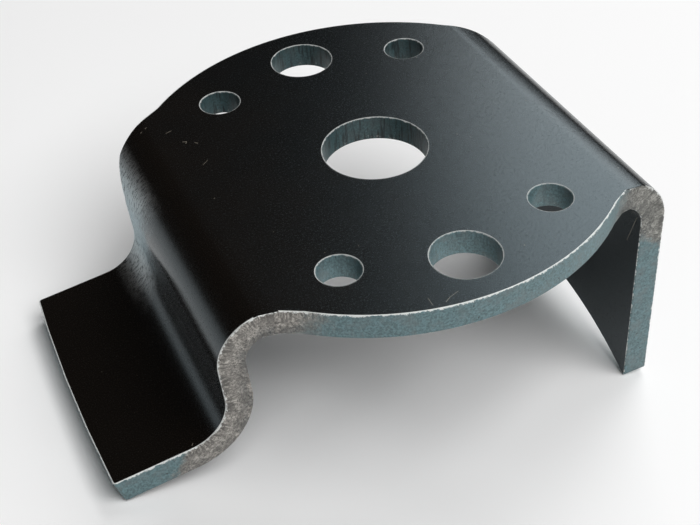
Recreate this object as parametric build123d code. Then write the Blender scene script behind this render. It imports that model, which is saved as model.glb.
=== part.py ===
from build123d import *
from math import cos, radians, sin, sqrt, tan
import os

# Mounting bracket folded from one piece of 1/4 in plate: a round deck pierced for a bolted joint,
# a joggled foot turned down and out on the -X side, and a flange turned square down on the +X side,
# coped at its lower edge to saddle a tube.
# Millimetres, +Z up. The origin is on the axis of the centre bore, in the top face of the deck.

# Plate
plate_t = 6.35

# Deck, seen from above
deck_r = 58.2                 # round part of the deck
strap_front = 41.3            # straight front edge, forward of the bore axis
strap_back = 24.4             # straight back edge of the foot and the flange, behind the bore axis
blend_r = 10.0                # hollow blends from the round rim into its straight edges
ear_root_angle = 46.0         # where the rim runs off into the ear beside each fold, from the X axis
ear_step = 7.4                # the ear's edge meets the fold this far behind the strap
ear_fold_angle = 67.5         # the ear follows the fold round this far from the flat of the deck
ear_corner_r = 3.0            # rounded tip of the ear
step_root_r = 3.0             # root of the step from the ear back to the strap

# Holes in the deck
centre_bore_d = 24.8
bolt_circle_d = 88.9
large_hole_d = 15.4           # two, on the bolt circle, fore and aft
small_hole_d = 9.8            # four, on the same bolt circle
small_hole_x = 25.65          # their offset to either side of the bore axis

# Joggled foot, on the -X side
foot_fold_start = 44.5        # the flat of the deck ends here
foot_fold_r = 5.2             # inside radius of the fold under the deck
web_lean = 3.0                # the web is folded this far past square
web_flat = 8.0                # flat of the web between its two folds
toe_fold_r = 10.2             # inside radius of the fold at the foot
foot_droop = 6.0              # the foot falls away from level
foot_flat = 17.8              # flat of the foot beyond its fold
foot_tip_bow = 1.0            # the sheared tip is bowed out in the middle

# Saddle flange, on the +X side
flange_fold_start = 41.2      # the flat of the deck ends here
flange_fold_r = 6.2           # inside radius of the fold under the deck
saddle_r = 76.2               # radius of the tube it sits on
saddle_top = 50.5             # highest point of the saddle below the deck face

# Free corners eased after shearing
corner_r = 0.8

# How far a cutter or a blank runs past what it trims, and how near counts as the same place
over = 5.0
near = 0.01


def setback(outer_r, fold_angle):
    """Distance from a fold's tangent line to the corner where its two flats would meet."""
    return outer_r * tan(radians(fold_angle) / 2)


def along(angle, length):
    """Step in the XZ plane at an angle from +X."""
    return Vector(cos(radians(angle)), sin(radians(angle))) * length


# Outside radii of the two folds under the deck, and their axes in the XZ plane
foot_fold_out = foot_fold_r + plate_t
flange_fold_out = flange_fold_r + plate_t
foot_fold_axis = Vector(-foot_fold_start, -foot_fold_out)
flange_fold_axis = Vector(flange_fold_start, -flange_fold_out)

# Corners of the bent line that the upper face follows, in the XZ plane
foot_setback = setback(foot_fold_out, 90 + web_lean)
toe_setback = setback(toe_fold_r, 90 + web_lean - foot_droop)
web_corner = Vector(-foot_fold_start - foot_setback, 0)
toe_corner = web_corner + along(web_lean - 90, foot_setback + web_flat + toe_setback)
foot_tip = toe_corner + along(180 + foot_droop, toe_setback + foot_flat)
flange_x = flange_fold_start + setback(flange_fold_out, 90)
saddle_axis_z = -saddle_top - saddle_r
flange_low_z = saddle_axis_z + sqrt(saddle_r**2 - strap_front**2)
small_hole_y = sqrt((bolt_circle_d / 2) ** 2 - small_hole_x**2)


def side_profile():
    """Section of the folded plate in the XZ plane, run past the foot's tip and the saddle."""
    upper = FilletPolyline(
        foot_tip + along(180 + foot_droop, over),
        toe_corner,
        web_corner,
        Vector(flange_x, 0),
        Vector(flange_x, flange_low_z - over),
        radius=[toe_fold_r, foot_fold_out, flange_fold_out],
    )
    return make_face(offset(upper, amount=plate_t, side=Side.RIGHT).edges())


def beyond_ear(side, fold_axis):
    """Area of the XZ plane past the end of an ear, square to the plate there."""
    far = 2 * deck_r
    turned = radians(ear_fold_angle)
    return make_face(Polyline(
        fold_axis,
        fold_axis + Vector(side * sin(turned), cos(turned)) * far,
        Vector(side * far, -far),
        Vector(fold_axis.X, -far),
        close=True,
    ).edges())


def deck_outline():
    """The deck from above: its rim, the ears behind and the straight edges in front."""
    root = along(ear_root_angle, deck_r)
    outline = Circle(deck_r)
    for side, fold_x in ((-1, foot_fold_start + foot_fold_out), (1, flange_x)):
        ear_edge = Vector(fold_x, strap_back + ear_step) - root
        ear_end = root + ear_edge * (1 + over / ear_edge.X)
        outline += make_face(Polyline(
            (0, -strap_front),
            (side * ear_end.X, -strap_front),
            (side * ear_end.X, ear_end.Y),
            (side * root.X, root.Y),
            (0, 0),
            close=True,
        ).edges())
    # Swelling the outline and shrinking it back fills its hollow corners with the blend
    return offset(offset(outline, amount=blend_r), amount=-blend_r)


def deck_with_ears():
    """The flat deck and its ears, which are part of the folds."""
    profile = side_profile() - beyond_ear(-1, foot_fold_axis) - beyond_ear(1, flange_fold_axis)
    wide = extrude(Plane.XZ * profile, amount=deck_r + over, both=True)
    return wide & extrude(deck_outline(), amount=2 * flange_fold_out, both=True)


def strap():
    """The narrower strap: web, foot and flange, trimmed to the bowed tip and to the saddle."""
    bent = extrude(Plane((0, -strap_front, 0), x_dir=(1, 0, 0), z_dir=(0, -1, 0)) * side_profile(),
                   amount=-(strap_front + strap_back))
    mid_y = (strap_back - strap_front) / 2
    blank = make_face(
        ThreePointArc(
            (foot_tip.X, strap_back), (foot_tip.X - foot_tip_bow, mid_y), (foot_tip.X, -strap_front)
        ).edges()
        + Polyline(
            (foot_tip.X, -strap_front), (deck_r, -strap_front), (deck_r, strap_back),
            (foot_tip.X, strap_back),
        ).edges()
    )
    bent &= extrude(blank, amount=2 * deck_r, both=True)
    tube = Plane.YZ * Pos(0, saddle_axis_z) * Circle(saddle_r)
    return bent - extrude(tube, amount=deck_r)


def round_steps(body):
    """Round the tip of each ear, and the root of the step between its end and the strap."""
    for edge, radius in ((-1, ear_corner_r), (0, step_root_r)):
        ends = body.faces().filter_by(GeomType.PLANE).filter_by(
            lambda f: f.center().Y > strap_back and abs(f.normal_at().Y) < near)
        body = fillet([end.edges().sort_by(Axis.Y)[edge] for end in ends], radius)
    return body


def ease_corners(body):
    """Round the free corners of the foot and of the flange through the plate."""
    for direction in (Axis.X, Axis.Z):
        end = body.faces().sort_by(direction)[0]
        body = fillet(end.edges().filter_by(GeomType.LINE), corner_r)
    return body


def pierce(body):
    """Cut the centre bore and the two sets of bolt holes square through the deck."""
    holes = [(0, 0, centre_bore_d)]
    holes += [(0, y * bolt_circle_d / 2, large_hole_d) for y in (-1, 1)]
    holes += [(x * small_hole_x, y * small_hole_y, small_hole_d) for x in (-1, 1) for y in (-1, 1)]
    for x, y, diameter in holes:
        body -= Pos(x, y) * extrude(Circle(diameter / 2), amount=flange_fold_out, both=True)
    return body


def bracket():
    body = deck_with_ears() + strap()
    body = round_steps(body)
    body = ease_corners(body)
    return pierce(body)


os.makedirs("parts", exist_ok=True)
export_step(bracket(), "parts/bracket.step")
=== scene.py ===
"""A folded mounting bracket of quarter-inch plate, with its oiled mill scale and sheared edges.

Run as a script: the operators build the plate first, then the stage, the lights and the camera.
Everything is in metres, +Z up, with the origin on the axis of the centre bore in the top face
of the deck.
"""
from math import asin, atan2, cos, hypot, pi, radians, sin, sqrt, tan

import bmesh
import bpy
from bpy.props import FloatProperty, FloatVectorProperty, IntProperty, PointerProperty
from mathutils import Matrix, Vector


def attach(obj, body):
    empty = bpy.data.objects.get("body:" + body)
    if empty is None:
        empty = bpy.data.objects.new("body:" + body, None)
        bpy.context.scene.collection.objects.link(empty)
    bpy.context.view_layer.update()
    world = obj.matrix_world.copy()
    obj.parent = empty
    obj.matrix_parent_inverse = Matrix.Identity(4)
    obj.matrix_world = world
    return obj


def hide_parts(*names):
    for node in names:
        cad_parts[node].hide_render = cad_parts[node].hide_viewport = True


bl_info = {
    "name": "Folded Bracket",
    "version": (1, 0, 0),
    "blender": (4, 5, 0),
    "location": "3D View > Sidebar > Bracket",
    "description": "Builds a folded plate bracket, its mill-scale finish and a plain studio",
    "category": "Object",
}

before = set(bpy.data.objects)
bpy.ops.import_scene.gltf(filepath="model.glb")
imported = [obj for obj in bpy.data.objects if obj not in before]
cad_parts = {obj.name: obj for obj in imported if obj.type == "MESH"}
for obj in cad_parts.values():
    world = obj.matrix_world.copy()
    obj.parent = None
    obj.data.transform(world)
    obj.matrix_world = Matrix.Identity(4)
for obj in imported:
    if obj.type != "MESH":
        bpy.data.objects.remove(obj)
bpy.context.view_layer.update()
MM = 0.001
AXIS_X, AXIS_Y, AXIS_Z = Vector((1, 0, 0)), Vector((0, 1, 0)), Vector((0, 0, 1))

# How the mesh is drawn and mended
CURVE_STEP = radians(2.0)       # turn of one facet in a small curve
RIM_STEP = radians(1.5)         # turn of one facet in the rim of the deck
BOW_STEP = radians(2.0)         # turn of one facet in the bowed tip of the foot
TUBE_FACETS = 208
BORE_FACETS = 96                # the other holes take fewer, by the root of their radius
TIP_FACETS = 8                  # facets in the tip of an ear and in the root of its step
CORNER_FACETS, ARRIS_FACETS = 4, 2
SHORT_EDGE = 0.36 * MM          # an edge shorter than this has no room for its eased arris
SAME_PLACE = 0.0001 * MM        # corners closer together than this are one
RULE_NEAR = 0.01 * MM           # a ruled line takes in the corners this close to it
STEP_NEAR = 1e-6
STRIP_SPARE = 0.4               # share by which the strip runs past its foot and its flange
FREE_CORNER_ANGLE, ARRIS_ANGLE = radians(40), radians(38)
SKIN_FACING = 0.93              # a face this square to the plate is skin, and any other is cut
SKIN, SHEARED, PUNCHED = range(3)   # material slots of the plate


# ---------------------------------------------------------------- sizes and colours

def length(name, description, millimetres):
    return FloatProperty(name=name, description=description, default=millimetres * MM,
                         subtype="DISTANCE", unit="LENGTH", precision=5)


def turn_of(name, description, in_degrees):
    return FloatProperty(name=name, description=description, default=radians(in_degrees),
                         subtype="ANGLE", unit="ROTATION")


def colour(name, description, rgb):
    return FloatVectorProperty(name=name, description=description, default=rgb, size=3,
                               subtype="COLOR", min=0, max=1)


class PlateSizes(bpy.types.PropertyGroup):
    """Sizes of the plate, its folds and its holes."""
    plate: length("Plate", "Thickness of the plate", 6.35)
    deck_r: length("Deck radius", "Radius of the round deck", 58.2)
    front: length("Strap front", "Straight front edge, forward of the bore axis", 41.3)
    back: length("Strap back", "Straight back edge of the foot and flange", 24.4)
    blend: length("Blend", "Hollow blend from the rim into a straight edge", 10.0)
    ear_root: turn_of("Ear root", "Where the rim runs off into an ear, from the X axis", 46.0)
    ear_step: length("Ear step", "How far an ear meets its fold behind the strap", 7.4)
    ear_turn: turn_of("Ear turn", "How far an ear follows its fold round", 67.5)
    ear_fall: length("Ear fall", "Run in which an ear falls back to the strap", 5.9)
    ear_corner: length("Ear corner", "Rounded tip of an ear, and root of its step", 3.0)
    bore: length("Centre bore", "Diameter of the centre bore", 24.8)
    bolt_circle: length("Bolt circle", "Diameter of the circle of all six holes", 88.9)
    large_hole: length("Large hole", "Diameter of the two large holes", 15.4)
    small_hole: length("Small hole", "Diameter of the four small holes", 9.8)
    small_hole_x: length("Small hole offset", "Offset of a small hole to either side", 25.65)
    foot_start: length("Foot fold start", "Where the flat of the deck ends on the foot side", 44.5)
    foot_fold: length("Foot fold", "Inside radius of the fold above the web", 5.2)
    web_lean: turn_of("Web lean", "How far past square the web is folded", 3.0)
    web_flat: length("Web flat", "Flat of the web between its folds", 8.0)
    toe_fold: length("Toe fold", "Inside radius of the fold at the foot", 10.2)
    foot_droop: turn_of("Foot droop", "How far the foot falls from level", 6.0)
    foot_flat: length("Foot flat", "Flat of the foot beyond its fold", 17.8)
    tip_slant: length("Tip slant", "How far the sheared tip leans in at its lower face", 1.7)
    tip_bow: length("Tip bow", "Bow of the sheared tip of the foot", 1.0)
    flange_start: length("Flange fold start", "Where the deck's flat ends on the flange side", 41.2)
    flange_fold: length("Flange fold", "Inside radius of the flange's fold", 6.2)
    saddle_r: length("Saddle radius", "Radius of the tube that the flange sits on", 76.2)
    saddle_top: length("Saddle top", "Highest point of the saddle below the deck face", 50.5)
    corner: length("Free corner", "Easing of the free corners of the foot and flange", 0.8)
    arris: length("Arris", "Rounding of every sheared arris", 0.32)
    fold_steps: IntProperty(name="Fold steps", description="Flats in each fold", default=16, min=6)


class FinishColours(bpy.types.PropertyGroup):
    """Colours of the skin, the sheared edges and the dressed edges."""
    scale: colour("Mill scale", "Oiled mill scale", (0.0068, 0.0045, 0.003))
    shear: colour("Sheared edge", "Blue-grey sheared metal", (0.11, 0.19, 0.205))
    bare: colour("Dressed edge", "Bare metal where an edge was dressed", (0.37, 0.35, 0.32))


def sizes():
    return bpy.context.scene.bracket_sizes


def colours():
    return bpy.context.scene.bracket_colours


# ---------------------------------------------------------------- the folded line, laid flat

def along(angle, reach):
    """Step in the XZ plane at an angle from +X."""
    return Vector((cos(angle), 0, sin(angle))) * reach


class FoldLine:
    """Where the upper face of the plate runs in the XZ plane, and how far along it a point lies."""

    def __init__(self, s):
        self.foot_out = s.foot_fold + s.plate
        self.flange_out = s.flange_fold + s.plate
        self.foot_axis = Vector((-s.foot_start, 0, -self.foot_out))
        self.flange_axis = Vector((s.flange_start, 0, -self.flange_out))
        self.web_turn = pi / 2 + s.web_lean
        self.toe_turn = self.web_turn - s.foot_droop
        self.web_top = self.foot_axis + along(pi / 2 + self.web_turn, self.foot_out)
        self.web_end = self.web_top + along(s.web_lean - pi / 2, s.web_flat)
        self.toe_axis = self.web_end + along(pi + s.web_lean, s.toe_fold)
        self.toe_end = self.toe_axis + along(s.foot_droop - pi / 2, s.toe_fold)
        self.foot_tip = self.toe_end + along(pi + s.foot_droop, s.foot_flat)
        self.flange_x = s.flange_start + self.flange_out
        self.flange_top = Vector((self.flange_x, 0, self.flange_axis.z))
        self.toe_at = s.foot_start + self.foot_out * self.web_turn + s.web_flat
        self.foot_at = self.toe_at + s.toe_fold * self.toe_turn
        self.start, self.end = -s.foot_start, s.flange_start
        self.toe_fold, self.web_flat = s.toe_fold, s.web_flat

    def unfold(self, point):
        """How far along the upper face, how deep below it, and which way is into the plate."""
        x, z = point.x, point.z
        p = Vector((x, 0, z))
        if self.start <= x <= self.end:
            return x, -z, -AXIS_Z
        if x > self.end:
            if z < self.flange_axis.z:
                reach = self.end + self.flange_out * pi / 2 + self.flange_axis.z - z
                return reach, self.flange_x - x, -AXIS_X
            spoke = p - self.flange_axis
            reach = self.end + self.flange_out * atan2(spoke.x, spoke.z)
            return reach, self.flange_out - spoke.length, -spoke.normalized()
        spoke = p - self.foot_axis
        turned = atan2(-spoke.x, spoke.z)
        if 0 <= turned <= self.web_turn:
            reach = self.start - self.foot_out * turned
            return reach, self.foot_out - spoke.length, -spoke.normalized()
        lean = self.web_turn - pi / 2
        down = (p - self.web_top).dot(along(lean - pi / 2, 1))
        if down <= self.web_flat:
            inward = along(lean, 1)
            reach = self.start - self.foot_out * self.web_turn - down
            return reach, (p - self.web_top).dot(inward), inward
        spoke = p - self.toe_axis
        turned = lean - atan2(spoke.z, spoke.x)
        if turned <= self.toe_turn:
            reach = -self.toe_at - self.toe_fold * turned
            return reach, spoke.length - self.toe_fold, spoke.normalized()
        inward = (self.toe_end - self.toe_axis).normalized()
        outward = Vector((inward.z, 0, -inward.x))
        beyond = p - self.toe_end
        return -self.foot_at - beyond.dot(outward), beyond.dot(inward), inward


# ---------------------------------------------------------------- drawing and cutting

def walk(bm, vert, step):
    """Carry a line on from its end by a straight step."""
    end = bmesh.ops.extrude_vert_indiv(bm, verts=[vert])["verts"][0]
    bmesh.ops.translate(bm, verts=[end], vec=step)
    return end


def walk_to(bm, vert, point):
    return walk(bm, vert, Vector(point) - vert.co)


def swing_to(bm, vert, centre, axis, point, step=CURVE_STEP):
    """Carry a line on from its end round a centre, to the bearing of a point."""
    was, will = vert.co - centre, Vector(point) - centre
    angle = atan2(axis.dot(was.cross(will)), was.dot(will))
    steps = max(2, round(abs(angle) / step))
    made = bmesh.ops.spin(bm, geom=[vert], cent=centre, axis=axis, angle=angle, steps=steps,
                          use_merge=False, use_duplicate=False)
    return verts_of(made["geom_last"])[0]


def verts_of(geom):
    return [g for g in geom if isinstance(g, bmesh.types.BMVert)]


def new_object(name, bm):
    """A mesh object from a bmesh, with its faces turned outwards."""
    bmesh.ops.recalc_face_normals(bm, faces=bm.faces)
    mesh = bpy.data.meshes.new(name)
    bm.to_mesh(mesh)
    bm.free()
    obj = bpy.data.objects.new(name, mesh)
    bpy.context.scene.collection.objects.link(obj)
    return obj


def prism(bm, first, last, step):
    """Close a line from its last vertex to its first, fill it and extrude it into a solid."""
    bm.edges.new((last, first))
    face = bmesh.ops.edgeloop_fill(bm, edges=bm.edges[:])["faces"]
    raised = bmesh.ops.extrude_face_region(bm, geom=face)["geom"]
    bmesh.ops.translate(bm, verts=verts_of(raised), vec=step)


def add_part(bm, part):
    """Move one bmesh into another."""
    mesh = bpy.data.meshes.new("part")
    part.to_mesh(mesh)
    part.free()
    bm.from_mesh(mesh)
    bpy.data.meshes.remove(mesh)


def settle(mesh):
    """Put a mesh's corners and faces in the order of their places, so that every run cuts alike."""
    corners = sorted(range(len(mesh.vertices)), key=lambda k: tuple(mesh.vertices[k].co))
    rank = {k: n for n, k in enumerate(corners)}
    rings = []
    for face in mesh.polygons:
        ring = [rank[k] for k in face.vertices]
        first = ring.index(min(ring))
        rings.append(ring[first:] + ring[:first])
    places = [mesh.vertices[k].co.copy() for k in corners]
    mesh.clear_geometry()
    mesh.from_pydata(places, [], sorted(rings))


def cut(body, tool, operation="DIFFERENCE"):
    """Cut one solid with another and throw the tool away."""
    settle(body.data)
    settle(tool.data)
    modifier = body.modifiers.new("cut", "BOOLEAN")
    modifier.operation, modifier.solver, modifier.object = operation, "EXACT", tool
    bpy.context.view_layer.update()
    graph = bpy.context.evaluated_depsgraph_get()
    mesh = bpy.data.meshes.new_from_object(body.evaluated_get(graph))
    body.modifiers.clear()
    settle(mesh)
    body.data = mesh
    bpy.data.objects.remove(tool)


# ---------------------------------------------------------------- the plate

def folded_strip(s, line):
    """The plate folded to its side profile, wider than the deck and longer than the part."""
    bm = bmesh.new()
    fold_step = line.web_turn / s.fold_steps
    start = bm.verts.new((s.flange_start, 0, 0))
    end = walk_to(bm, start, (-s.foot_start, 0, 0))
    end = swing_to(bm, end, line.foot_axis, AXIS_Y, line.web_top, fold_step)
    end = walk_to(bm, end, line.web_end)
    end = swing_to(bm, end, line.toe_axis, AXIS_Y, line.toe_end, fold_step)
    walk_to(bm, end, line.foot_tip + (line.foot_tip - line.toe_end) * STRIP_SPARE)
    end = swing_to(bm, start, line.flange_axis, AXIS_Y, line.flange_top, fold_step)
    walk_to(bm, end, (line.flange_x, 0, -s.saddle_top - STRIP_SPARE * s.deck_r))
    half_width = 1.2 * s.deck_r
    bmesh.ops.translate(bm, verts=bm.verts, vec=(0, -half_width, 0))
    across = bmesh.ops.extrude_edge_only(bm, edges=bm.edges[:])["geom"]
    bmesh.ops.translate(bm, verts=verts_of(across), vec=(0, 2 * half_width, 0))
    bmesh.ops.recalc_face_normals(bm, faces=bm.faces)
    deck = max(bm.faces, key=lambda f: f.calc_area())
    if deck.normal.z < 0:
        bmesh.ops.reverse_faces(bm, faces=bm.faces)
    bmesh.ops.solidify(bm, geom=bm.faces[:], thickness=s.plate)
    return new_object("folded_strip", bm)


def ear_blend(s, side, fold_x):
    """The hollow blend beside an ear: its centre, its ends on the ear and on the rim, and the
    way the ear's edge runs from it."""
    root = Vector((side * s.deck_r * cos(s.ear_root), s.deck_r * sin(s.ear_root), 0))
    away = (Vector((side * fold_x, s.back + s.ear_step, 0)) - root).normalized()
    out = Vector((-away.y, away.x, 0)) * side
    off = root.dot(out) + s.blend
    centre = away * sqrt((s.deck_r + s.blend) ** 2 - off**2) + out * off
    return centre, centre - out * s.blend, centre.normalized() * s.deck_r, away


def blank_outline(s, line):
    """The part from above, drawn out past whatever the ears' ends will trim."""
    bm = bmesh.new()
    low = Vector((0, 0, -1.5 * s.deck_r))
    tip_x, half = line.foot_tip.x, (s.front + s.back) / 2
    bow_r = (half**2 + s.tip_bow**2) / (2 * s.tip_bow)
    bow_centre = Vector((tip_x - s.tip_bow + bow_r, s.back - half, 0))
    turned = 1.2 * asin(half / bow_r)
    first = bm.verts.new((tip_x, -s.front, 0))
    end = swing_to(bm, first, bow_centre, AXIS_Z,
                   bow_centre + Vector((-cos(turned), sin(turned), 0)) * bow_r, BOW_STEP)
    past = s.foot_start + line.foot_out + s.corner
    end = walk_to(bm, end, (-past, end.co.y, 0))
    centre, leaves, meets, away = ear_blend(s, -1, s.foot_start + line.foot_out)
    end = walk_to(bm, end, leaves + away * ((-past - leaves.x) / away.x))
    end = walk_to(bm, end, leaves)
    end = swing_to(bm, end, centre, AXIS_Z, meets)
    centre, leaves, meets, away = ear_blend(s, 1, line.flange_x)
    past = line.flange_x + s.corner
    end = swing_to(bm, end, Vector(), AXIS_Z, meets, RIM_STEP)
    end = swing_to(bm, end, centre, AXIS_Z, leaves)
    end = walk_to(bm, end, leaves + away * ((past - leaves.x) / away.x))
    end = walk_to(bm, end, (past, -s.front, 0))
    reach = s.deck_r + s.blend
    centre = Vector((sqrt(reach**2 - (s.front + s.blend) ** 2), -s.front - s.blend, 0))
    far_centre = Vector((-centre.x, centre.y, 0))
    end = walk_to(bm, end, (centre.x, -s.front, 0))
    end = swing_to(bm, end, centre, AXIS_Z, centre * s.deck_r / reach)
    end = swing_to(bm, end, Vector(), AXIS_Z, far_centre * s.deck_r / reach, RIM_STEP)
    end = swing_to(bm, end, far_centre, AXIS_Z, far_centre + AXIS_Y * s.blend)
    bmesh.ops.translate(bm, verts=bm.verts, vec=low)
    prism(bm, first, end, -2 * low)
    return new_object("blank", bm)


def behind_strap(s, line):
    """What lies behind the strap, past the end of each ear."""
    bm = bmesh.new()
    far, turned = 2 * s.deck_r, pi / 2 - s.foot_droop
    for side, axis in ((-1, line.foot_axis), (1, line.flange_axis)):
        part = bmesh.new()
        first = part.verts.new((axis.x, s.back, axis.z))
        end = walk(part, first, Vector((side * sin(turned), 0, cos(turned))) * far)
        end = walk_to(part, end, (side * far, s.back, -far))
        end = walk_to(part, end, (axis.x, s.back, -far))
        prism(part, first, end, AXIS_Y * s.deck_r)
        add_part(bm, part)
    return new_object("behind_strap", bm)


def ear_step(s, line, side, axis, outer_r):
    """What is trimmed where an ear falls back to the strap: drawn flat, then rolled."""
    leaves, away = ear_blend(s, side, abs(axis.x) + outer_r)[1::2]
    middle = outer_r * s.ear_turn
    top_at, foot_at = middle - 0.44 * s.ear_fall, middle + 0.56 * s.ear_fall
    over = foot_at + 1.5 * s.ear_corner
    slope = away.y / away.x
    fold_y = leaves.y + away.y * (axis.x - leaves.x) / away.x
    bm = bmesh.new()
    # It begins a little outside the ear's edge, so that only the tip and the step are cut
    first = bm.verts.new((0, fold_y + 0.25 * s.ear_corner, 0))
    tip = walk_to(bm, first, (top_at, fold_y + slope * side * outer_r * sin(top_at / outer_r), 0))
    root = walk_to(bm, tip, (foot_at, s.back, 0))
    end = walk_to(bm, root, (over, s.back, 0))
    end = walk_to(bm, end, (over, s.deck_r, 0))
    end = walk_to(bm, end, (first.co.x, s.deck_r, 0))
    bmesh.ops.bevel(bm, geom=[tip, root], offset=0.85 * s.ear_corner, segments=TIP_FACETS,
                    profile=0.5, affect="VERTICES", material=-1)
    bm.edges.new((end, first))
    bmesh.ops.edgeloop_fill(bm, edges=bm.edges[:])
    for k in range(1, s.fold_steps):
        bmesh.ops.bisect_plane(bm, geom=bm.verts[:] + bm.edges[:] + bm.faces[:], dist=STEP_NEAR,
                               plane_co=(over * k / s.fold_steps, 0, 0), plane_no=AXIS_X)
    near_r, far_r = outer_r - 1.25 * s.plate, outer_r + 0.25 * s.plate
    for v in bm.verts:
        turned = v.co.x / outer_r
        v.co = axis + Vector((side * sin(turned) * near_r, v.co.y, cos(turned) * near_r))
    raised = bmesh.ops.extrude_face_region(bm, geom=bm.faces[:])["geom"]
    bmesh.ops.scale(bm, verts=verts_of(raised), vec=(far_r / near_r, 1, far_r / near_r),
                    space=Matrix.Translation(-axis))
    return new_object("ear_step", bm)


def round_bar(bm, centre, axis, radius, reach, segments):
    """A round bar through a centre, along an axis."""
    bar = bmesh.ops.create_cone(bm, cap_ends=True, segments=segments, radius1=radius,
                                radius2=radius, depth=reach)["verts"]
    bmesh.ops.transform(bm, matrix=axis.to_track_quat("Z", "Y").to_matrix().to_4x4(), verts=bar)
    bmesh.ops.translate(bm, verts=bar, vec=centre)


def tube(s):
    """The tube that the flange sits on."""
    bm = bmesh.new()
    centre = Vector((s.deck_r, 0, -s.saddle_top - s.saddle_r))
    round_bar(bm, centre, AXIS_X, s.saddle_r, s.deck_r, TUBE_FACETS)
    return new_object("tube", bm)


def hole_list(s):
    """Centre and radius of every hole in the deck."""
    circle = s.bolt_circle / 2
    small_y = sqrt(circle**2 - s.small_hole_x**2)
    return ([(Vector(), s.bore / 2)]
            + [(Vector((0, y * circle, 0)), s.large_hole / 2) for y in (-1, 1)]
            + [(Vector((x * s.small_hole_x, y * small_y, 0)), s.small_hole / 2)
               for x in (-1, 1) for y in (-1, 1)])


def punches(s):
    """A punch for every hole in the deck."""
    bm = bmesh.new()
    for centre, radius in hole_list(s):
        facets = 2 * round(BORE_FACETS / 2 * sqrt(radius / s.bore * 2))
        round_bar(bm, centre, AXIS_Z, radius, 4 * s.plate, facets)
    return new_object("punches", bm)


def trim_slivers(body):
    """Close up the edges too short to ease, which the cuts leave where they cross at a slant."""
    bm = bmesh.new()
    bm.from_mesh(body.data)
    bmesh.ops.dissolve_degenerate(bm, edges=bm.edges, dist=SHORT_EDGE)
    bm.to_mesh(body.data)
    bm.free()


def round_corners(bm, s, line):
    """Ease the free corners of the foot and of the flange, through the plate."""
    def through(edge):
        ends = [line.unfold(v.co) for v in edge.verts]
        reach, depth = (abs(ends[0][k] - ends[1][k]) for k in (0, 1))
        return reach < 1 * MM and depth > 0.9 * s.plate

    free = [e for e in bm.edges if e.is_manifold and e.calc_face_angle() > FREE_CORNER_ANGLE
            and through(e) and max(v.co.z for v in e.verts) < line.foot_axis.z
            and max(v.co.y for v in e.verts) < s.back + 1 * MM]
    for e in free:
        bmesh.ops.bevel(bm, geom=[e], offset=s.corner * tan(e.calc_face_angle() / 2),
                        segments=CORNER_FACETS, profile=0.5, affect="EDGES", material=-1)


def ease_arrises(bm, s):
    """Take the sharpness off every arris that the shears and the punches left."""
    sharp = [e for e in bm.edges if e.is_manifold and e.calc_face_angle() > ARRIS_ANGLE]
    bmesh.ops.bevel(bm, geom=sharp, offset=s.arris, segments=ARRIS_FACETS, profile=0.5,
                    affect="EDGES", clamp_overlap=False, loop_slide=True, material=-1)


def slant_tip(bm, s, line):
    """Lean the sheared tip of the foot in towards its lower face."""
    tip_at = -line.foot_at - s.foot_flat
    inwards = along(s.foot_droop, s.tip_slant)
    for v in bm.verts:
        reach, depth, _ = line.unfold(v.co)
        if reach < tip_at + 4 * s.corner:
            v.co += inwards * max(depth, 0) / s.plate


def rule_folds(bm, s, line):
    """Rule the cut edges across each fold, so that they unfold evenly."""
    def rule(faces, axis, angle):
        geom = list(dict.fromkeys(g for f in faces for g in (f, *f.edges, *f.verts)))
        made = bmesh.ops.bisect_plane(bm, geom=geom, dist=RULE_NEAR, plane_co=axis,
                                      plane_no=along(angle + pi / 2, 1))["geom"]
        return [g for g in made if isinstance(g, bmesh.types.BMFace)]

    folds = ((line.foot_axis, pi / 2, line.web_turn, line.foot_out),
             (line.toe_axis, s.web_lean, -line.toe_turn, s.toe_fold + s.plate),
             (line.flange_axis, pi / 2, -pi / 2, line.flange_out))
    for axis, begin, turn, far in folds:
        through = []
        for f in bm.faces:
            depths = [line.unfold(v.co)[1] for v in f.verts]
            if max(depths) - min(depths) > s.plate / 2:
                through.append(f)
        inside = []
        for f in rule(rule(through, axis, begin), axis, begin + turn):
            spoke = f.calc_center_median() - axis
            turned = (atan2(spoke.z, spoke.x) - begin) / turn
            if 0 < turned < 1 and hypot(spoke.x, spoke.z) < far:
                inside.append(f)
        for k in range(1, s.fold_steps):
            inside = rule(inside, axis, begin + turn * k / s.fold_steps)


def mend_seams(bm):
    """Join the corners that fell together, and close any slit that is left between them."""
    bmesh.ops.remove_doubles(bm, verts=bm.verts, dist=SAME_PLACE)
    bmesh.ops.holes_fill(bm, edges=[e for e in bm.edges if e.is_boundary], sides=8)
    bmesh.ops.recalc_face_normals(bm, faces=bm.faces)


def mark_faces(bm, s, line):
    """Note the flat pattern at every vertex, and give each face its finish."""
    flat = bm.verts.layers.float_vector.new("sheet")
    for v in bm.verts:
        reach, depth, _ = line.unfold(v.co)
        v[flat] = Vector((reach, v.co.y, depth)) / MM
    holes = hole_list(s)
    for f in bm.faces:
        f.smooth = True
        middle = f.calc_center_median()
        inward = line.unfold(middle)[2]
        if abs(f.normal.dot(inward)) > SKIN_FACING:
            f.material_index = SKIN
            continue
        in_hole = any((Vector((middle.x, middle.y, 0)) - c).length < r + 1 * MM for c, r in holes)
        f.material_index = PUNCHED if in_hole else SHEARED


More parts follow.
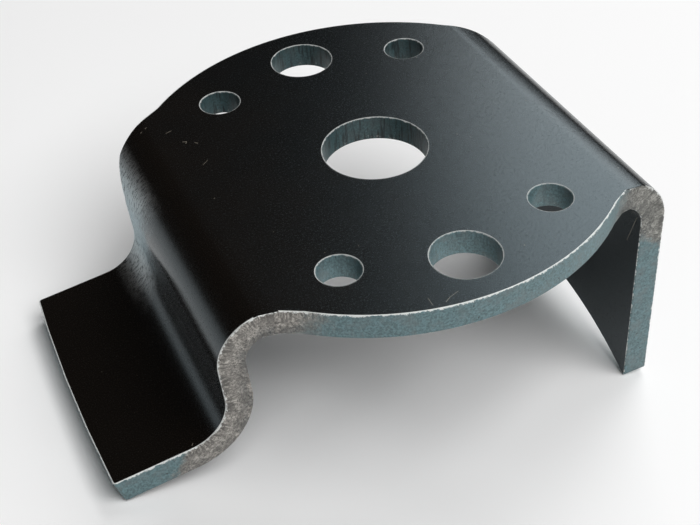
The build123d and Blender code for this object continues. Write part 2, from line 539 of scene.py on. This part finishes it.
class BRACKET_OT_plate(bpy.types.Operator):
    """Fold, trim, pierce and ease the plate, and dress it in its mill scale and sheared edges"""
    bl_idname = "bracket.plate"
    bl_label = "Build the folded plate"

    def execute(self, context):
        s = sizes()
        line = FoldLine(s)
        body = folded_strip(s, line)
        cut(body, blank_outline(s, line), "INTERSECT")
        cut(body, behind_strap(s, line))
        cut(body, ear_step(s, line, -1, line.foot_axis, line.foot_out))
        cut(body, ear_step(s, line, 1, line.flange_axis, line.flange_out))
        cut(body, tube(s))
        trim_slivers(body)
        cut(body, punches(s))
        bm = bmesh.new()
        bm.from_mesh(body.data)
        round_corners(bm, s, line)
        slant_tip(bm, s, line)
        ease_arrises(bm, s)
        rule_folds(bm, s, line)
        mend_seams(bm)
        bm.to_mesh(body.data)
        settle(body.data)
        bm.clear()
        bm.from_mesh(body.data)
        bpy.data.objects.remove(body)
        mark_faces(bm, s, line)
        piece = new_object("folded_bracket", bm)
        weigh = piece.modifiers.new("Even shading", "WEIGHTED_NORMAL")
        weigh.keep_sharp, weigh.weight = False, 90
        for material in (mill_scale(), sheared_edge(), punched_wall()):
            piece.data.materials.append(material)
        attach(piece, "root")
        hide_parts("bracket")
        return {"FINISHED"}


# ---------------------------------------------------------------- finishes

class Nodes:
    """Adds nodes to one tree, with plain values or other nodes' outputs on their inputs."""

    def __init__(self, tree):
        self.tree = tree

    def add(self, kind, settings=None, inputs=None, out=0):
        node = self.tree.nodes.new(kind)
        for name, value in (settings or {}).items():
            setattr(node, name, value)
        for key, value in (inputs or {}).items():
            self.feed(node.inputs[key], value)
        return node.outputs[out]

    def feed(self, socket, value):
        if isinstance(value, bpy.types.NodeSocket):
            self.tree.links.new(value, socket)
        else:
            socket.default_value = value

    def calc(self, operation, *values, clamp=False):
        settings = {"operation": operation, "use_clamp": clamp}
        return self.add("ShaderNodeMath", settings, dict(enumerate(values)))

    def times(self, *values):
        """Product of two values."""
        return self.calc("MULTIPLY", *values)

    def waver(self, noise, reach, value):
        """A value, made to wander by a noise."""
        return self.calc("MULTIPLY_ADD", noise, reach, value)

    def vector(self, operation, *values, out=0):
        settings = {"operation": operation}
        return self.add("ShaderNodeVectorMath", settings, dict(enumerate(values)), out)

    def tinted(self, vector, gains):
        """A colour or a place, multiplied channel by channel."""
        return self.vector("MULTIPLY", vector, gains)

    def ease(self, value, low, high, to_low=0.0, to_high=1.0):
        """Smooth step from one level to another."""
        return self.add("ShaderNodeMapRange", {"interpolation_type": "SMOOTHSTEP"},
                        {0: value, 1: low, 2: high, 3: to_low, 4: to_high})

    def blend(self, share, below, above):
        """Mix of two colours."""
        return self.add("ShaderNodeMix", {"data_type": "RGBA"}, {0: share, 6: below, 7: above}, 2)

    def noise(self, vector, scale, detail=2.0, rough=0.5):
        inputs = {"Vector": vector, "Scale": scale, "Detail": detail, "Roughness": rough}
        return self.add("ShaderNodeTexNoise", inputs=inputs)

    def split(self, vector):
        node = self.tree.nodes.new("ShaderNodeSeparateXYZ")
        self.feed(node.inputs[0], vector)
        return node.outputs

    def group(self, build, **inputs):
        """The mask of a shared node group, which is built the first time that it is asked for."""
        node = self.tree.nodes.new("ShaderNodeGroup")
        node.node_tree = bpy.data.node_groups.get(build.__name__) or build()
        for key, value in inputs.items():
            self.feed(node.inputs[key], value)
        return node.outputs["Mask"]


def new_group(name, inputs):
    """A shader node group: its nodes, its input sockets by name, and a way to set its mask."""
    tree = bpy.data.node_groups.new(name, "ShaderNodeTree")
    for label, kind, default in inputs:
        socket = tree.interface.new_socket(label, in_out="INPUT", socket_type=kind)
        if default is not None:
            socket.default_value = default
    tree.interface.new_socket("Mask", in_out="OUTPUT", socket_type="NodeSocketFloat")
    given = tree.nodes.new("NodeGroupInput").outputs
    result = tree.nodes.new("NodeGroupOutput").inputs[0]
    return Nodes(tree), given, lambda value: tree.links.new(value, result)


FLOAT, VECTOR = "NodeSocketFloat", "NodeSocketVector"


def pits():
    """Small round pits or specks scattered at random, each cell of its own size."""
    n, given, give = new_group("pits", [("Vector", VECTOR, None), ("Scale", FLOAT, 1.0),
                                        ("Share", FLOAT, 0.3), ("Size", FLOAT, 0.3)])
    cell = n.tree.nodes.new("ShaderNodeTexVoronoi")
    n.feed(cell.inputs["Vector"], given["Vector"])
    n.feed(cell.inputs["Scale"], given["Scale"])
    chance = n.split(cell.outputs["Color"])
    picked = n.calc("LESS_THAN", chance[0], given["Share"])
    radius = n.times(n.calc("MULTIPLY_ADD", chance[1], 0.7, 0.3), given["Size"])
    inside = n.calc("DIVIDE", n.calc("SUBTRACT", radius, cell.outputs["Distance"]), given["Size"])
    give(n.times(picked, n.ease(inside, 0.0, 0.3)))
    return n.tree


def streaks():
    """Marks that run through the plate, from one skin to the other."""
    n, given, give = new_group("streaks", [("Vector", VECTOR, None), ("Pitch", FLOAT, 0.3),
                                           ("Run", FLOAT, 4.0)])
    spread = n.add("ShaderNodeCombineXYZ", inputs={0: n.calc("DIVIDE", 1.0, given["Pitch"]),
                                                   1: n.calc("DIVIDE", 1.0, given["Pitch"]),
                                                   2: n.calc("DIVIDE", 1.0, given["Run"])})
    give(n.noise(n.vector("MULTIPLY", given["Vector"], spread), 1.0, 3.0, 0.6))
    return n.tree


def burr_and_highlight_line():
    """A thin broken line along the top arris of a cut edge, and a weaker one along the lower: a
    burr, painted bright as a highlight where the arris catches the light.
    """
    n, given, give = new_group("burr_and_highlight_line", [("Vector", VECTOR, None), ("Depth", FLOAT, 0.0),
                                             ("Plate", FLOAT, 6.35), ("Width", FLOAT, 0.3)])
    below = n.times(n.calc("SUBTRACT", given["Plate"], given["Depth"]), 2.5)
    inner = n.calc("MINIMUM", given["Depth"], n.calc("ADD", below, 0.1))
    broken = n.noise(given["Vector"], 0.9, 5.0, 0.8)
    ragged = n.times(given["Width"], n.ease(broken, 0.42, 0.66, 0.25, 2.1))
    give(n.ease(n.calc("DIVIDE", inner, ragged), 0.55, 1.0, 1.0, 0.0))
    return n.tree


def scratch():
    """One straight scratch from a point to another, on the flat pattern."""
    n, given, give = new_group("scratch", [("Vector", VECTOR, None), ("From", VECTOR, (0, 0, 0)),
                                           ("To", VECTOR, (1, 0, 0)), ("Width", FLOAT, 0.1)])
    run = n.vector("SUBTRACT", given["To"], given["From"])
    off = n.vector("SUBTRACT", given["Vector"], given["From"])
    share = n.calc("DIVIDE", n.vector("DOT_PRODUCT", off, run, out=1),
                   n.vector("DOT_PRODUCT", run, run, out=1), clamp=True)
    nearest = n.add("ShaderNodeVectorMath", {"operation": "SCALE"}, {0: run, "Scale": share})
    gap = n.vector("DISTANCE", off, nearest, out=1)
    give(n.ease(n.calc("DIVIDE", gap, given["Width"]), 0.35, 0.6, 1.0, 0.0))
    return n.tree


def new_material(name):
    """A material, its nodes, its shader, and the flat pattern in millimetres."""
    material = bpy.data.materials.new(name)
    material.use_nodes = True
    n = Nodes(material.node_tree)
    sheet = n.add("ShaderNodeAttribute", {"attribute_name": "sheet"}, out=1)
    return material, n, n.tree.nodes["Principled BSDF"], sheet


def raise_by(n, shader, height):
    """Bump a shader by a height in millimetres."""
    bump = n.add("ShaderNodeBump", inputs={"Strength": 1.0, "Distance": MM, "Height": height})
    n.feed(shader.inputs["Normal"], bump)


def rgba(colour, gain=1.0):
    return (*(c * gain for c in colour), 1)


# Lesser tones of the skin and of the cut metal
FLANGE_SCALE = rgba((0.0026, 0.0026, 0.0025))
# The rubbed tone is bare scuff, lightened as a painted highlight
RUBBED_AND_HIGHLIT, DUST = rgba((0.5, 0.5, 0.49)), rgba((0.3, 0.27, 0.22))
CLOUDED, PITTED = rgba((0.14, 0.175, 0.18)), rgba((0.02, 0.022, 0.022))
TORN, SMEARED = rgba((0.008, 0.011, 0.012)), rgba((0.4, 0.4, 0.37))
# The second of these tones is painted shade on the lower part of the dressed edge
GOUGED, PAINTED_SHADE = rgba((0.03, 0.032, 0.034)), rgba((0.075, 0.085, 0.09))
# The burr tone is near white: a painted highlight on the arris as well as the burr
BURR_HIGHLIGHT = (0.82, 0.84, 0.82)
OIL_TINT, OIL_IOR = rgba((0.62, 0.88, 1.0)), 1.55

# Hair scratches and chips in the scale: start, end and width, in mm on the flat pattern
HAIRS = (
    ((-10.6, -55.6, 0), (-9.2, -54.7, 0), 0.13), ((-9.2, -54.7, 0), (-6.9, -53.9, 0), 0.1),
    ((-13.3, -52.9, 0), (-13.4, -55.2, 0), 0.09), ((69.0, -36.6, 6.35), (59.5, -39.6, 6.35), 0.16),
    ((59.1, -37.4, 6.35), (57.4, -38.6, 6.35), 0.14), ((-39.5, 24.6, 0), (-38.6, 24.3, 0), 0.14),
    ((-38.6, 24.3, 0), (-39.0, 23.6, 0), 0.14), ((-41.9, 30.1, 0), (-40.4, 30.5, 0), 0.11),
    ((-37.0, 22.9, 0), (-36.4, 22.3, 0), 0.13), ((-47.3, 33.7, 0), (-46.9, 34.0, 0), 0.12),
    ((-45.8, 34.6, 0), (-45.4, 35.0, 0), 0.12), ((-38.3, 13.3, 0), (-36.6, 14.6, 0), 0.08),
    ((-86.2, -40.3, 0), (-85.8, -39.8, 0), 0.12), ((-78.7, -15.2, 0), (-78.5, -15.1, 0), 0.22),
)


def mill_scale():
    """Oiled mill scale: near-black and satin, with fine grain, dust, scuffs and hair scratches, and
    a painted highlight on the scuffed back of the web.
    """
    material, n, shader, sheet = new_material("mill_scale")
    reach, across = n.split(sheet)[:2]
    grain = n.noise(sheet, 3.8, 3.0, 0.65)
    cloud = n.noise(sheet, 0.055, 4.0, 0.6)
    fleck = n.ease(n.noise(sheet, 1.6, 3.0, 0.7), 0.5, 0.78)
    skin = n.blend(n.ease(n.waver(cloud, 60.0, reach), -25.0, 45.0), rgba(colours().scale),
                   FLANGE_SCALE)
    skin = n.blend(n.ease(grain, 0.42, 0.72), n.tinted(skin, (0.6, 0.6, 0.6)),
                   n.tinted(skin, (1.6, 1.6, 1.6)))
    # Scuffed, pitted skin along the back edge of the web, lightened further as a painted highlight
    # where the web's back end catches the light at a grazing angle
    near_back = n.ease(n.waver(n.noise(sheet, 0.16, 3.0, 0.6), 12.0, across), 8.0, 23.0)
    over_web = n.times(n.ease(reach, -85.0, -75.0), n.ease(reach, -58.0, -51.0, 1.0, 0.0))
    scuff_and_highlight_zone = n.times(near_back, over_web)
    torn = n.noise(n.tinted(sheet, (0.5, 1.5, 1.0)), 1.1, 5.0, 0.75)
    rubbed_and_highlit = n.times(scuff_and_highlight_zone, n.ease(torn, 0.4, 0.52, 0.05, 0.95))
    # Painted highlight: the pale rubbed colour stands in for light caught at a grazing angle as
    # well as for the bare scuff
    skin = n.blend(rubbed_and_highlit, skin, RUBBED_AND_HIGHLIT)
    n.feed(shader.inputs["Metallic"], rubbed_and_highlit)
    specks = n.group(pits, Vector=sheet, Scale=0.42, Share=0.16, Size=0.09)
    marks = n.times(specks, n.ease(grain, 0.3, 0.6))
    for start, end, width in HAIRS:
        hair = n.group(scratch, Vector=sheet, From=start, To=end, Width=width)
        marks = n.calc("MAXIMUM", marks, hair)
    skin = n.blend(n.times(marks, 0.8), skin, DUST)
    n.feed(shader.inputs["Base Color"], skin)
    shine = n.calc("MULTIPLY_ADD", n.ease(grain, 0.3, 0.75), 0.11, 0.19)
    shine = n.calc("ADD", shine, n.times(fleck, 0.1))
    n.feed(shader.inputs["Roughness"], n.calc("ADD", shine, n.times(rubbed_and_highlit, 0.2)))
    shader.inputs["IOR"].default_value = OIL_IOR
    shader.inputs["Specular Tint"].default_value = OIL_TINT
    height = n.calc("ADD", n.times(grain, 0.02), n.times(n.noise(sheet, 0.5, 2.0), 0.007))
    raise_by(n, shader, n.calc("ADD", height, n.times(scuff_and_highlight_zone, n.times(torn, 0.12))))
    return material


def punch_marks(n, metal, sheet):
    """The walls darken towards the back as painted shade, with near-black tears and pale smears low
    down.
    """
    _, across, depth = n.split(sheet)
    # Painted shade: the walls of the holes further back are darkened, as less light reaches them
    metal = n.blend(n.ease(across, -26.0, 10.0, 0.0, 0.85), metal,
                    n.tinted(metal, (0.3, 0.36, 0.36)))
    tears = n.ease(n.group(streaks, Vector=sheet, Pitch=0.6, Run=7.0), 0.52, 0.62)
    metal = n.blend(n.times(tears, n.ease(across, -28.0, 4.0, 0.15, 0.8)), metal, TORN)
    smears = n.times(n.ease(n.noise(sheet, 1.3, 5.0, 0.8), 0.56, 0.64), n.ease(depth, 4.6, 5.6))
    return n.blend(n.times(smears, 0.55), metal, SMEARED)


def dressed_bare(n, sheet, cloud):
    """Bare metal where the edge was dressed round the folds: its colour, with painted shade towards
    its lower face, where it lies, its scores and its gouges."""
    tint = colours().bare
    reach, _, depth = n.split(sheet)
    aslant = n.calc("MULTIPLY_ADD", depth, 0.55, reach)
    wander = n.waver(n.noise(sheet, 0.45, 4.0, 0.65), 8.0, aslant)
    foot_side = n.times(n.ease(wander, -86.0, -83.0), n.ease(wander, -34.0, -26.0, 1.0, 0.0))
    flange_side = n.times(n.ease(wander, 41.0, 50.0), n.ease(wander, 71.0, 75.0, 1.0, 0.0))
    dressed = n.calc("ADD", foot_side, flange_side)
    scores = n.group(streaks, Vector=sheet, Pitch=0.5, Run=2.6)
    crumb = n.noise(sheet, 2.1, 5.0, 0.8)
    bare = n.blend(n.ease(crumb, 0.36, 0.62), rgba(tint, 0.4), rgba(tint, 1.6))
    strokes = n.times(n.ease(scores, 0.47, 0.55),
                      n.ease(n.waver(cloud, 3.0, depth), 2.4, 4.6, 0.85, 0.1))
    bare = n.blend(strokes, bare, rgba(tint, 0.22))
    gouges = n.times(n.ease(n.noise(sheet, 1.5, 5.0, 0.8), 0.53, 0.6),
                     n.ease(n.waver(n.noise(sheet, 0.22, 2.0), 4.0, depth), 3.4, 6.0))
    bare = n.blend(n.times(gouges, 0.8), bare, GOUGED)
    # Painted shade in broad patches towards the lower face, on the inside of the folds
    painted_shade = n.times(n.ease(cloud, 0.38, 0.6), n.ease(depth, 2.2, 5.8))
    bare = n.blend(n.times(painted_shade, 0.6), bare, PAINTED_SHADE)
    blotches = n.ease(n.noise(sheet, 0.5, 4.0, 0.7), 0.42, 0.6, 0.5, 0.0)
    bare = n.blend(blotches, bare, rgba(tint, 0.28))
    bare = n.blend(n.times(flange_side, 0.45), bare, n.tinted(bare, (0.42, 0.5, 0.5)))
    return bare, dressed, scores, gouges


def cut_metal(name, punched):
    """Blue-grey metal of a cut face: streaked and mottled, with pits, painted shade in places, and
    a burr on its arrises that is painted bright as a highlight.
    """
    material, n, shader, sheet = new_material(name)
    tint = colours().shear
    depth = n.split(sheet)[2]
    fine = n.group(streaks, Vector=sheet, Pitch=0.22, Run=2.4)
    mottle = n.noise(sheet, 1.9, 5.0, 0.75)
    cloud = n.noise(sheet, 0.3, 3.0, 0.6)
    metal = n.blend(n.ease(mottle, 0.36, 0.64), rgba(tint, 0.6), rgba(tint, 1.34))
    metal = n.blend(n.ease(fine, 0.5, 0.72, 0.0, 0.5 if punched else 0.22), metal, rgba(tint, 0.45))
    metal = n.blend(n.ease(cloud, 0.45, 0.65, 0.0, 0.5), metal, CLOUDED)
    pit = n.group(pits, Vector=n.tinted(sheet, (1.0, 1.0, 0.6)), Scale=0.9, Share=0.16, Size=0.2)
    metal = n.blend(n.times(pit, 0.85), metal, PITTED)
    rough = n.calc("MULTIPLY_ADD", mottle, 0.2, 0.35)
    height = n.calc("ADD", n.times(mottle, 0.06), n.times(fine, 0.03))
    if punched:
        metal = punch_marks(n, metal, sheet)
    else:
        bare, dressed, scores, gouges = dressed_bare(n, sheet, cloud)
        metal = n.blend(dressed, metal, bare)
        height = n.calc("ADD", height, n.times(dressed, n.times(scores, 0.08)))
        height = n.calc("SUBTRACT", height, n.times(n.times(gouges, dressed), 0.05))
        rough = n.calc("SUBTRACT", rough, n.times(dressed, 0.08))
        n.feed(shader.inputs["Metallic"], n.times(dressed, 0.35))
    # Painted highlight: the burr line is near white where the eased arris catches the light
    burr_and_highlight = n.group(burr_and_highlight_line, Vector=sheet, Depth=depth, Plate=sizes().plate / MM,
                   Width=0.2 if punched else 0.34)
    metal = n.blend(n.times(burr_and_highlight, 0.9), metal, rgba(BURR_HIGHLIGHT, 0.6 if punched else 1.0))
    n.feed(shader.inputs["Base Color"], metal)
    n.feed(shader.inputs["Roughness"], rough)
    raise_by(n, shader, n.calc("SUBTRACT", height, n.times(pit, 0.08)))
    return material


def sheared_edge():
    return cut_metal("sheared_edge", False)


def punched_wall():
    return cut_metal("punched_wall", True)


# ---------------------------------------------------------------- stage and camera

FLOOR_HALF, FLOOR_GAP = 4, 0.1 * MM
FLOOR_COLOUR, WORLD_COLOUR = rgba((0.96, 0.96, 0.96)), rgba((0.02, 0.02, 0.02))


def bearing(azimuth, elevation):
    """Unit vector at an azimuth from +Y towards +X and an elevation, in degrees."""
    a, e = radians(azimuth), radians(elevation)
    return Vector((sin(a) * cos(e), cos(a) * cos(e), sin(e)))


def softbox(name, azimuth, elevation, distance, width, height, radiance, roll=0):
    """A flat soft light that faces the part, rolled on its stand by an angle in degrees."""
    lamp = bpy.data.lights.new(name, "AREA")
    lamp.shape, lamp.size, lamp.size_y = "RECTANGLE", width, height
    lamp.energy = radiance * pi * width * height
    obj = bpy.data.objects.new(name, lamp)
    where = bearing(azimuth, elevation)
    obj.matrix_world = (Matrix.Translation(where * distance)
                        @ where.to_track_quat("Z", "Y").to_matrix().to_4x4()
                        @ Matrix.Rotation(radians(roll), 4, "Z"))
    bpy.context.scene.collection.objects.link(obj)


def floor_under(s, line):
    """A pale floor that the tip of the foot and the flange's corner stand on."""
    foot = line.foot_tip + (line.toe_end - line.toe_axis).normalized() * s.plate
    flange_z = -s.saddle_top - s.saddle_r + sqrt(s.saddle_r**2 - s.front**2)
    flange = Vector((line.flange_x - s.plate / 2, 0, flange_z))
    lie = flange - foot
    bm = bmesh.new()
    bmesh.ops.create_grid(bm, x_segments=1, y_segments=1, size=FLOOR_HALF)
    bmesh.ops.rotate(bm, verts=bm.verts, cent=(0, 0, 0),
                     matrix=Matrix.Rotation(atan2(-lie.z, lie.x), 3, "Y"))
    bmesh.ops.translate(bm, verts=bm.verts, vec=foot - AXIS_Z * FLOOR_GAP)
    floor = new_object("floor", bm)
    if floor.data.polygons[0].normal.z < 0:
        floor.data.flip_normals()
    material, _, shader, _ = new_material("pale_floor")
    shader.inputs["Base Color"].default_value = FLOOR_COLOUR
    shader.inputs["Roughness"].default_value = 0.9
    floor.data.materials.append(material)


def place_camera():
    """The camera, to the left of the front and above, as its axes and its place."""
    camera = bpy.data.objects.new("camera", bpy.data.cameras.new("camera"))
    camera.data.lens, camera.data.sensor_width = 64.791, 36
    camera.data.clip_start, camera.data.clip_end = 0.01, 20
    right = Vector((0.90746352, -0.41595935, -0.05905747))
    up = Vector((0.31153777, 0.5719146, 0.75885302))
    back = Vector((-0.28187618, -0.70703006, 0.64857868))
    place = Matrix.Translation((-0.09731538, -0.22261878, 0.17191606))
    camera.matrix_world = place @ Matrix((right, up, back)).transposed().to_4x4()
    bpy.context.scene.collection.objects.link(camera)
    bpy.context.scene.camera = camera


class BRACKET_OT_studio(bpy.types.Operator):
    """Lay the floor, hang the soft lights and stand the camera"""
    bl_idname = "bracket.studio"
    bl_label = "Build the studio"

    def execute(self, context):
        s = sizes()
        floor_under(s, FoldLine(s))
        world = bpy.data.worlds.new("studio")
        world.use_nodes = True
        world.node_tree.nodes["Background"].inputs["Color"].default_value = WORLD_COLOUR
        context.scene.world = world
        softbox("back_panel", azimuth=53, elevation=38, distance=1.3, width=0.75, height=0.88,
                radiance=3.8, roll=28)
        softbox("front_panel", azimuth=152, elevation=54, distance=1.4, width=1.5, height=1.2,
                radiance=3.6)
        place_camera()
        context.scene.view_settings.view_transform = "Standard"
        return {"FINISHED"}


class BRACKET_PT_panel(bpy.types.Panel):
    """Sizes, colours and pieces of the bracket"""
    bl_label = "Folded bracket"
    bl_idname = "BRACKET_PT_panel"
    bl_space_type = "VIEW_3D"
    bl_region_type = "UI"
    bl_category = "Bracket"

    def draw(self, context):
        column = self.layout.column()
        for operator in (BRACKET_OT_plate, BRACKET_OT_studio):
            column.operator(operator.bl_idname)
        for group in (context.scene.bracket_sizes, context.scene.bracket_colours):
            for name in group.__annotations__:
                column.prop(group, name)


CLASSES = (PlateSizes, FinishColours, BRACKET_OT_plate, BRACKET_OT_studio, BRACKET_PT_panel)


def register():
    for cls in CLASSES:
        bpy.utils.register_class(cls)
    bpy.types.Scene.bracket_sizes = PointerProperty(type=PlateSizes)
    bpy.types.Scene.bracket_colours = PointerProperty(type=FinishColours)


def unregister():
    del bpy.types.Scene.bracket_colours
    del bpy.types.Scene.bracket_sizes
    for cls in reversed(CLASSES):
        bpy.utils.unregister_class(cls)


def main():
    register()
    bpy.ops.bracket.plate()
    bpy.ops.bracket.studio()


if __name__ == "__main__":
    main()
